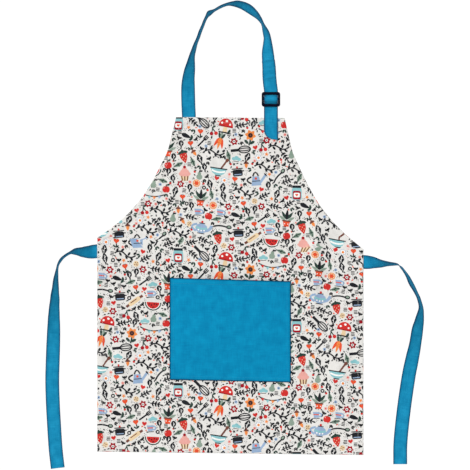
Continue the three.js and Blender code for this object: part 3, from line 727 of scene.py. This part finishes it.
# Throws the motifs into one repeat, the roomiest first, each where the cloth is still free
def scatterMotifs():
    dice = Random(prints["seed"])
    across, up = prints["across"], prints["up"]
    x, y = numpy.meshgrid(numpy.arange(0, across, prints["cell"]), numpy.arange(0, up, prints["cell"]),
                          indexing="ij")
    free = numpy.full(x.shape, 1e3)

    def wrapped(dx, dy):
        turns = numpy.round(dx / across)
        dx, dy = dx - turns * across, dy - turns * up * prints["drop"]
        return dx, dy - numpy.round(dy / up) * up

    def freeAt(px, py):
        turns = floor(px / across)
        px, py = px - turns * across, (py - turns * up * prints["drop"]) % up
        return free[int(px / prints["cell"]), int(py / prints["cell"])]

    placed = []
    for name, (room, marks) in sorted(motifs.items(), key=lambda item: -item[1][0][0] - item[1][0][1] / 3):
        radius, reach, tilt, times = (room[0] * prints["scale"], room[1] * prints["scale"], *room[2:])
        for copy in range(times):
            spots = numpy.argwhere(free >= radius + prints["gap"])
            for attempt in range(min(prints["tries"], 6 * len(spots))):
                i, j = spots[dice.randrange(len(spots))]
                px, py = (i + dice.random()) * prints["cell"], (j + dice.random()) * prints["cell"]
                turn = radians(dice.uniform(-tilt, tilt))
                ends = [(px + k * reach * cos(turn), py + k * reach * sin(turn)) for k in (-1, -0.5, 0.5, 1)]
                if all(freeAt(*end) >= radius + prints["gap"] for end in ends):
                    break
            else:
                continue
            dx, dy = wrapped(x - px, y - py)
            along = numpy.clip(dx * cos(turn) + dy * sin(turn), -reach, reach)
            free = numpy.minimum(free, numpy.hypot(dx - along * cos(turn), dy - along * sin(turn)) - radius)
            placed.append((name, px, py, turn))
    return placed


# How many of the hem's grid lines lie within a way in from the edge. Past the second, it runs on
# evenly, so that a motif that the edge cuts keeps its form.
def rimLine(inward):
    if inward < panelRim[2]:
        return 2 + (inward - panelRim[2]) / panelStep
    k = min(bisect_right(panelRim, inward), len(panelRim) - 1) - 1
    return k + (inward - panelRim[k]) / (panelRim[k + 1] - panelRim[k])


# A place in the flat cloth as its column and row in the body's grid
def gridPlace(s, t):
    last, row = len(panelRows) - 1, bisect_right(panelRows, t) - 1
    if t < panelRim[-1]:
        v = rimLine(t)
    elif t > body["length"] - panelRim[-1]:
        v = last - rimLine(body["length"] - t)
    else:
        v = row + (t - panelRows[row]) / (panelRows[row + 1] - panelRows[row])
    half, edge = halfWidth(t), slant(t)
    inward, inner = (half - abs(s)) / edge, half - panelRim[-1] * edge
    if inward > panelRim[-1]:
        return panelAcross / 2 + s / inner * (panelAcross / 2 - len(panelRim) + 1), v
    return (rimLine(inward) if s < 0 else panelAcross - rimLine(inward)), v


# A grid point's place on the cloth, and in its cut
@cache
def clothAt(i, j):
    s, t = panelCut(i, j)
    return panelPlace(s, t, True), Vector((s, t, 0))


# Cuts a motif along the body's grid, so that it can follow the cloth, and drops what lies off it
def cutMotif(bm, s, t, turn):
    for vert in bm.verts:
        x, y, number = vert.co
        vert.co = Vector((*gridPlace(s + x * cos(turn) - y * sin(turn),
                                     t + x * sin(turn) + y * cos(turn)), number))
    for axis, last in ((0, panelAcross), (1, len(panelRows) - 1)):
        lowest, highest = (end(v.co[axis] for v in bm.verts) for end in (min, max))
        normal = Vector((1 - axis, axis, 0))
        for line in range(max(ceil(lowest), 1), min(floor(highest), last - 1) + 1):
            bmesh.ops.bisect_plane(bm, geom=[*bm.verts, *bm.edges, *bm.faces], dist=1e-4,
                                   plane_co=normal * line, plane_no=normal)
        off = [f for f in bm.faces if not 1 < f.calc_center_median()[axis] < last - 1]
        bmesh.ops.delete(bm, geom=off, context="FACES")
        if not bm.verts:
            return


# Lays an ink's film on the cloth. The copy half a step up is its upper side.
def layFilm(bm):
    raiseFaces(bm, 0.5)
    uvs = bm.loops.layers.uv.new("cloth")
    for vert in bm.verts:
        u, v, number = vert.co
        i, j = min(max(floor(u), 0), panelAcross - 1), min(max(floor(v), 0), len(panelRows) - 2)
        corners = [clothAt(i + across, j + up) for up in (0, 1) for across in (0, 1)]
        place, cut = (a.lerp(b, u - i).lerp(c.lerp(d, u - i), v - j) for a, b, c, d in zip(*corners))
        if number % 1 > 0.25:
            place.z += prints["film"] + floor(number) * prints["perMark"]
        else:
            place.z += prints["lowest"]
        vert.co = place * mm
        for loop in vert.link_loops:
            loop[uvs].uv = (cut.x * mm, cut.y * mm)


def printOnBody():
    films = {ink: bmesh.new() for ink in inks}
    drawings = {name: drawMotif(marks) for name, (room, marks) in motifs.items()}
    scratch = bpy.data.meshes.new("scratch")
    reach = prints["reach"] * prints["scale"]
    across, up = prints["repeats"]
    for name, x, y, turn in scatterMotifs():
        for i in range(-across, across + 1):
            for j in range(-up, up + 1):
                s = x + (i - 0.5) * prints["across"]
                t = y + (j + 1 + i * prints["drop"]) * prints["up"]
                if not -reach < t < body["length"] + reach or abs(s) >= halfWidth(t) + reach:
                    continue
                for ink, mesh in drawings[name].items():
                    bm = bmesh.new()
                    bm.from_mesh(mesh)
                    cutMotif(bm, s, t, turn)
                    bm.to_mesh(scratch)
                    bm.free()
                    films[ink].from_mesh(scratch)
    for mesh in (scratch, *(mesh for meshes in drawings.values() for mesh in meshes.values())):
        bpy.data.meshes.remove(mesh)
    pieces = []
    for ink, (dark, light) in inks.items():
        layFilm(films[ink])
        material = clothMaterial("ink" + ink[0].upper() + ink[1:], dark, light)
        pieces.append(addPiece("print_" + ink, films[ink], [material]))
    return pieces


printPieces = printOnBody()
print("print made of", sum(len(piece.data.polygons) for piece in printPieces), "faces")


pocketSeat = body["cloth"] + body["gap"]


# The height of the pocket's underside over the body's, and its thickness
def pocketHeights(s, t):
    up = t - pocket["aboveHem"]
    side = 1 - abs(2 * s / pocket["width"]) ** pocket["sideFullness"]
    foot = 1 - (1 - up / pocket["height"]) ** pocket["footFullness"]
    creases = sum(ridge(crease, s, up, pocket["width"], pocket["height"]) for crease in pocket["creases"])
    ripple = sum(height * uneven(s, t, *size) for height, *size in pocket["ripples"])
    crown = pocketSeat + side * foot * (pocket["puff"] + pocket["creaseHeight"] * creases + ripple)
    mouth = smooth((up - pocket["height"] + pocket["mouthHem"] + 1) / 1.5)
    thick = body["cloth"] + (body["hem"] - body["cloth"]) * mouth
    return max(crown - thick + body["cloth"], pocketSeat), thick


def makePocket():
    rim, foot, top = pocket["rim"], *pocketBox[2:]
    mouth, half = top - pocket["mouthHem"], pocket["width"] / 2
    columns = rimmedSteps(-half, half, rim, pocket["step"])
    rows = [*(foot + d for d in rim[:-1]), *steps(foot + rim[-1], mouth - 1.5, pocket["step"]),
            mouth - 0.75, mouth, mouth + 0.75, *steps(mouth + 1.8, top - 1.2, pocket["mouthStep"]),
            top - 0.5, top - 0.2, top]

    def placeOf(s, t, upper):
        low, thick = pocketHeights(s, t)
        seam = min(half - abs(s), t - foot)
        turnedIn = 1 - smooth((seam - pocket["seamWidth"]) / 2)
        thick += pocket["seamThickness"] * turnedIn * smooth(seam / 0.8)
        groove = 0.3 * hump(seam - 2.4, 0.7) + 0.25 * hump(t - mouth, 0.8)
        pinch = edgeRound(min(seam, top - t), thick / 2)
        return Vector((*lie(s, t), low + (thick - pinch - groove if upper else pinch)))

    # Painted shade: a dark rim round all four of the pocket's edges
    bm = closedSheet(len(columns) - 1, len(rows) - 1, lambda i, j: (columns[i], rows[j]), placeOf,
                     lambda s, t: hump(min(half - abs(s), t - foot, top - t), pocket["shadedEdge"]))
    return addPiece("pocket_cloth", bm, [blueCotton, blueCotton])


pouch = makePocket()
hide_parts("pocket")
print("pocket made")


# A strap's stations from end to end, as the frame has them: its two edges, in mm
def stationsOf(node, start):
    bm = bmesh.new()
    bm.from_mesh(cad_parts[node].data)
    bmesh.ops.remove_doubles(bm, verts=bm.verts, dist=mm / 100)
    ring = sorted(bm.verts, key=lambda v: (v.co / mm - start).length)[:4]
    seen, rings = set(ring), []
    while ring:
        rings.append([v.co / mm for v in ring])
        near = {e.other_vert(v) for v in ring for e in v.link_edges} - seen
        ring = sorted(near, key=lambda v: v.index)
        seen |= near
    bm.free()
    middles = [sum(ring, Vector()) / len(ring) for ring in rings]
    stations = []
    for k, (first, *others) in enumerate(rings):
        others.sort(key=lambda p: (p - first).length)
        left, right = (first + others[0]) / 2, (others[1] + others[2]) / 2
        ahead = middles[min(k + 1, len(middles) - 1)] - middles[max(k - 1, 0)]
        turned = (right - left).dot(stations[-1][1] - stations[-1][0]) < 0 if k else (
            ahead.cross(right - left).z < 0)
        stations.append((right, left) if turned else (left, right))
    return stations


# Stations closer together on a smooth curve, each with its edges, the length so far and its face
def finer(stations):
    last = len(stations) - 1
    middles = [(left + right) / 2 for left, right in stations]
    spans = [(b - a).length for a, b in zip(middles, middles[1:])]

    def slope(k, edge):
        a, b = max(k - 1, 0), min(k + 1, last)
        return (stations[b][edge] - stations[a][edge]) / sum(spans[a:b])

    rows, along = [], 0
    for k, span in enumerate(spans):
        count = max(1, ceil(span / strap["rowStep"]))
        for i in range(count + (k == last - 1)):
            t = i / count
            edges = []
            for edge in (0, 1):
                bend = (t * (1 - t) ** 2 * slope(k, edge) + t * t * (t - 1) * slope(k + 1, edge)) * span
                edges.append(stations[k][edge].lerp(stations[k + 1][edge], smooth(t)) + bend)
            rows.append([*edges, along + span * t])
        along += span
    for k, row in enumerate(rows):
        before, after = rows[max(k - 1, 0)], rows[min(k + 1, len(rows) - 1)]
        ahead = after[0] + after[1] - before[0] - before[1]
        row.append(ahead.cross(row[1] - row[0]).normalized())
    return rows


# Rows close to a strap's end too, where it is rounded
def withEndRows(rows):
    (left, right, total, face), before = rows[-1], rows[-2]
    span = total - before[2]
    extra = []
    for gap in strap["endRows"]:
        if gap < span:
            t = 1 - gap / span
            extra.append([before[0].lerp(left, t), before[1].lerp(right, t), total - gap, face])
    return [*rows[:-1], *extra, rows[-1]]


# A strap through its rows. Its edges are folds, and a seam runs beside each of them. Returns the
# strap, its length and a function that gives a point of it.
def makeStrap(name, rows, endHem=0, calmAt=None, wrinkles=()):
    width, half = strap["width"], strap["thickness"] / 2
    columns = rimmedSteps(0, width, strap["edgeColumns"], strap["columnStep"])
    lengths = [row[2] for row in rows]
    index, total = {length: k for k, length in enumerate(lengths)}, lengths[-1]

    def creased(d, along, breadth):
        return sum(height * hump(total - along - fromEnd - (d - width / 2) / 5, breadth)
                   for fromEnd, height in wrinkles)

    def placeOf(d, along, upper):
        left, right, length, face = rows[index[along]]
        place = left.lerp(right, d / width)
        calm = smooth((along - 20) / 30)
        if calmAt is not None:
            calm *= smooth(((place - calmAt).length - 22) / 25)
        wave = strap["unevenness"] * uneven(d, along, *strap["unevenSize"])
        wave += creased(d, along, strap["wrinkleBreadth"])
        inward = min(d, width - d)
        thick = half - edgeRound(inward, half) - strap["groove"] * hump(inward - 2, 0.5)
        hem = strap["hemRise"] * smooth((endHem + 0.5 - total + along) / 1) if endHem else 0
        closing = edgeRound(total - along, half)
        place += face * (wave * calm + (thick - closing + hem if upper else closing - thick))
        place.z = max(place.z, 0)
        return place

    # Painted shade: a dark rim along the folded edges, broader where the strap stands steep, a darker tint
    # where it stands on edge, and dark lines along its raised wrinkles
    def paintedShadeOf(d, along):
        level = abs(rows[index[along]][3].z)
        rim = 0.95 * hump(min(d, width - d) * max(level, 0.3), strap["shadedEdge"])
        return max(rim, 0.3 * smooth((0.55 - level) / 0.35), 0.2 * creased(d, along, 1.4))

    def surfaceAt(d, along):
        k = min(bisect_right(lengths, along), len(rows) - 1) - 1
        share = (along - lengths[k]) / (lengths[k + 1] - lengths[k])
        return placeOf(d, lengths[k], True).lerp(placeOf(d, lengths[k + 1], True), share), rows[k][3]

    bm = closedSheet(len(columns) - 1, len(rows) - 1, lambda i, j: (columns[i], rows[j][2]), placeOf, paintedShadeOf)
    return addPiece(name + "_cloth", bm, [blueStrapping, blueStrapping]), total, surfaceAt


buckleMiddle = (buckleLow + buckleHigh) / 2


def makeNeckStrap():
    x, y = lie(neckRoot, body["length"])
    start = Vector((x, y - strap["tuck"], strap["thickness"] / 2))
    rows = withEndRows(finer(stationsOf("neck_strap", start)))
    return makeStrap("neck_strap", rows, calmAt=buckleMiddle, wrinkles=strap["wrinkles"])


def makeTie(name, side):
    x, y = lie(side * skirtHalf, tieRoot)
    start = Vector((x - side * strap["tuck"], y, strap["thickness"] / 2))
    return makeStrap(name, withEndRows(finer(stationsOf(name, start))), endHem=strap["tieHem"])


neckStrap, neckLength, neckAt = makeNeckStrap()
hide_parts("neck_strap")
leftTie, leftLength, leftAt = makeTie("tie_left", -1)
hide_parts("tie_left")
rightTie, rightLength, rightAt = makeTie("tie_right", 1)
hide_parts("tie_right")
print("straps made")


# The slide buckle: a flat moulded frame with two slots
buckle = {"sideBar": 4.25, "outerBar": 5.0, "centreBar": 3.0, "corner": 4.0, "slotCorner": 1.0, "edge": 0.7,
          "grain": 1400, "clouds": 160, "grainRelief": 0.00003, "roughness": (0.28, 0.42)}


def plasticMaterial():
    material, tree, shader = newMaterial("blackPlastic")
    place = addNode(tree, "TexCoord").outputs["Object"]
    grain = addNoise(tree, place, buckle["grain"])
    low, high = buckle["roughness"]
    rough = addNode(tree, "MapRange", {"Value": grain, "To Min": low, "To Max": high})
    shade = addNoise(tree, place, buckle["clouds"])
    colour = mixColours(tree, shade, (0.0006, 0.0009, 0.007), (0.002, 0.0026, 0.014))
    bump = addNode(tree, "Bump", {"Height": grain, "Distance": buckle["grainRelief"], "Strength": 0.35})
    tree.links.new(colour, shader.inputs["Base Color"])
    tree.links.new(rough.outputs[0], shader.inputs["Roughness"])
    tree.links.new(bump.outputs[0], shader.inputs["Normal"])
    shader.inputs["Specular IOR Level"].default_value = 0.06
    return material


def makeBuckle():
    size = buckleHigh - buckleLow
    half, top = size.x / 2, size.y / 2
    near, far = buckle["centreBar"] / 2, top - buckle["outerBar"]
    across = [-half, buckle["sideBar"] - half, half - buckle["sideBar"], half]
    along = [-top, -far, -near, near, far, top]
    bm = bmesh.new()
    bmesh.ops.create_grid(bm, x_segments=3, y_segments=5, size=1)
    for vert in bm.verts:
        i, j = round((vert.co.x + 1) * 1.5), round((vert.co.y + 1) * 2.5)
        vert.co = Vector((across[i], along[j], 0))
    slots = [f for f in bm.faces if abs(f.calc_center_median().x) < 1
             and near < abs(f.calc_center_median().y) < far]
    bmesh.ops.delete(bm, geom=slots, context="FACES")
    raiseFaces(bm, size.z)
    upright = [e for e in bm.edges if abs(e.verts[0].co.z - e.verts[1].co.z) > 1]
    corners = {"corner": [], "slotCorner": [], "flat": []}
    for edge in upright:
        x, y = abs(edge.verts[0].co.x), abs(edge.verts[0].co.y)
        outer = (x > half - 0.1) + (y > top - 0.1)
        corners["corner" if outer == 2 else "flat" if outer else "slotCorner"].append(edge)
    bmesh.ops.dissolve_edges(bm, edges=corners["flat"], use_verts=False)
    rounded = {"segments": 3, "profile": 0.5, "affect": "EDGES", "material": -1}
    bmesh.ops.bevel(bm, geom=corners["corner"], offset=buckle["corner"], **{**rounded, "segments": 7})
    bmesh.ops.bevel(bm, geom=corners["slotCorner"], offset=buckle["slotCorner"], **rounded)
    bmesh.ops.recalc_face_normals(bm, faces=bm.faces)
    rims = [e for e in bm.edges if len(e.link_faces) == 2 and e.calc_face_angle() > 1]
    bmesh.ops.bevel(bm, geom=rims, offset=buckle["edge"], **rounded)
    bmesh.ops.translate(bm, verts=bm.verts, vec=(buckleMiddle.x, buckleMiddle.y, buckleLow.z))
    bmesh.ops.scale(bm, verts=bm.verts, vec=(mm, mm, mm))
    return addPiece("slide_buckle_moulding", bm, [plasticMaterial()], sharpFrom=50)


slide = makeBuckle()
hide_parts("slide_buckle")
print("buckle made")


# The tab: a doubled strip, up from behind the bib, round the middle bar and back
def makeTab():
    bend, flat = 2.1, 0.7  # the turn's radius, and half of the flat stretch on the bar
    edge = (buckleHigh.y - buckleLow.y) / 2 - buckle["outerBar"]
    lower, upper = strap["thickness"] / 2, strap["thickness"] * 1.5
    foot = hypot(edge + flat, buckleMiddle.z - lower)
    reach = hypot(edge - flat, buckleMiddle.z - upper)
    leave = atan2(buckleMiddle.z - lower, edge + flat) + acos(bend / foot) - pi
    arrive = pi + atan2(buckleMiddle.z - upper, edge - flat) - acos(bend / reach)
    start = tabLow.y - buckleMiddle.y
    path = [(start, lower), (-edge, lower)]
    for middle, first, last in ((flat, leave, pi / 2), (-flat, pi / 2, arrive)):
        path += [(middle + bend * cos(a), buckleMiddle.z + bend * sin(a)) for a in steps(first, last, 0.25)]
    path += [(-edge, upper), (start, upper)]
    stations = [[Vector((x, buckleMiddle.y + y, z)) for x in (tabLow.x, tabHigh.x)] for y, z in path]
    return makeStrap("buckle_tab", finer(stations), calmAt=buckleMiddle)


tab, tabLength, tabAt = makeTab()
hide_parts("buckle_tab")
print("tab made")

# Seams: one dash of thread for each stitch
stitch = {"pitch": 3, "length": 2.3, "thread": 0.55, "proud": 0.06, "step": 2.5, "hemAt": 10,
          "pocketAt": (2.4, 7.2), "strapAt": 2, "rootAt": 9, "tailAt": 3, "tieEndAt": (2, 10)}


def threadMaterial(name, dark, light):
    material, tree, shader = newMaterial(name)
    fibres = addNoise(tree, addNode(tree, "TexCoord").outputs["Object"], 1800)
    twist = addNode(tree, "Bump", {"Height": fibres, "Distance": 0.00008, "Strength": 0.6})
    tree.links.new(mixColours(tree, fibres, dark, light), shader.inputs["Base Color"])
    tree.links.new(twist.outputs[0], shader.inputs["Normal"])
    shader.inputs["Roughness"].default_value = 0.55
    shader.inputs["Specular IOR Level"].default_value = 0.3
    return material


# A seam through points on the cloth, each with the way out of it
def sew(bm, points):
    way, last = 0, points[0][0]
    for point, out in points[1:]:
        span = (point - last).length
        while way + span >= stitch["pitch"]:
            last = last.lerp(point, (stitch["pitch"] - way) / span)
            span, way = (point - last).length, 0
            ahead = (point - last).normalized() if span > 1e-6 else ahead
            aside = out.cross(ahead).normalized()
            turned = Matrix((ahead, aside, ahead.cross(aside))).transposed().to_4x4()
            place = Matrix.Translation((last + out * stitch["proud"]) * mm) @ turned
            dash.transform(place)
            bm.from_mesh(dash)
            dash.transform(place.inverted())
        way, last = way + span, point


def makeDash():
    bm = bmesh.new()
    bmesh.ops.create_uvsphere(bm, u_segments=6, v_segments=4, radius=0.5)
    bmesh.ops.scale(bm, verts=bm.verts, vec=(stitch["length"] * mm, stitch["thread"] * mm,
                                             stitch["thread"] * 0.8 * mm))
    return meshFrom(bm, "dash")


def onBody(s, t):
    return Vector((*lie(s, t), bodyTop(s, t))), Vector((0, 0, 1))


def onPocket(s, t):
    return Vector((*lie(s, t), sum(pocketHeights(s, t)))), Vector((0, 0, 1))


def hemSeams(bm):
    d, length = stitch["hemAt"], body["length"]
    up = steps(d, length - d, stitch["step"])
    for side in (-1, 1):
        sew(bm, [onBody(side * (halfWidth(t) - d * slant(t)), t) for t in up])
    for t in (d, length - d):
        reach = halfWidth(t) - d * slant(t)
        sew(bm, [onBody(s, t) for s in steps(-reach, reach, stitch["step"])])


def pocketSeams(bm):
    half, (foot, top), step = pocket["width"] / 2, pocketBox[2:], stitch["step"]
    for d in stitch["pocketAt"]:
        for side in (-1, 1):
            sew(bm, [onPocket(side * (half - d), t) for t in steps(foot + d, top - 1, step)])
        sew(bm, [onPocket(s, foot + d) for s in steps(d - half, half - d, step)])
    sew(bm, [onPocket(s, top - pocket["mouthHem"]) for s in steps(2 - half, half - 2, step)])


def strapSeams(bm, surfaceAt, length, across):
    d, width, step = stitch["strapAt"], strap["width"], stitch["step"]
    for place in (d, width - d):
        sew(bm, [surfaceAt(place, along) for along in steps(strap["tuck"] + 1, length - 3, step)])
    for along in across:
        sew(bm, [surfaceAt(place, along) for place in steps(d, width - d, step)])


def makeSeams():
    white, blue = bmesh.new(), bmesh.new()
    hemSeams(white)
    pocketSeams(blue)
    strapSeams(blue, neckAt, neckLength, [strap["tuck"] + stitch["rootAt"], neckLength - stitch["tailAt"]])
    for surfaceAt, length in ((leftAt, leftLength), (rightAt, rightLength)):
        strapSeams(blue, surfaceAt, length, [length - d for d in stitch["tieEndAt"]])
    whiteThread = threadMaterial("whiteThread", (0.6, 0.58, 0.55), (0.78, 0.77, 0.74))
    blueThread = threadMaterial("blueThread", (0.002, 0.13, 0.27), (0.03, 0.34, 0.56))
    hem = addPiece("hem_stitches", white, [whiteThread])
    return hem, addPiece("blue_stitches", blue, [blueThread])


dash = makeDash()
hemStitches, blueStitches = makeSeams()
bpy.data.meshes.remove(dash)
print("seams made")

# The body's flat area, in square metres
bodyArea = sum(2 * halfWidth(t) for t in range(body["length"])) * mm * mm
for cloth, length, under in ((neckStrap, neckLength, [panel, slide]), (leftTie, leftLength, [panel]),
                             (rightTie, rightLength, [panel]), (tab, tabLength, [slide])):
    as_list(under)


# The floor is its own light, so that no shadow greys it
stage = {"size": 6, "below": 0.3, "floor": (0.04, 0.04, 0.04, 1), "glow": 1, "sky": 0.66, "sun": 2.05,
         "sunAngle": 28, "sunTilt": (-28, -27, 0)}
white = (1, 1, 1, 1)


def makeStage():
    material, tree, shader = newMaterial("paleFloor")
    shader.inputs["Base Color"].default_value = stage["floor"]
    shader.inputs["Roughness"].default_value = 0.9
    shader.inputs["Emission Color"].default_value = white
    shader.inputs["Emission Strength"].default_value = stage["glow"]
    shader.inputs["Specular IOR Level"].default_value = 0
    bm = bmesh.new()
    bmesh.ops.create_grid(bm, x_segments=1, y_segments=1, size=stage["size"])
    bmesh.ops.translate(bm, verts=bm.verts, vec=(0, 0, -stage["below"] * mm))
    mesh = meshFrom(bm, "floor")
    mesh.materials.append(material)
    floor = addObject("floor", mesh)


def makeLights():
    world = bpy.data.worlds.new("softSky")
    bpy.context.scene.world = world
    world.use_nodes = True
    sky = world.node_tree.nodes["Background"]
    sky.inputs["Color"].default_value = white
    sky.inputs["Strength"].default_value = stage["sky"]
    sun = bpy.data.lights.new("softbox", "SUN")
    sun.energy = stage["sun"]
    sun.angle = radians(stage["sunAngle"])
    addObject("softbox", sun).rotation_euler = [radians(angle) for angle in stage["sunTilt"]]


makeStage()
makeLights()
print("stage and lights made")
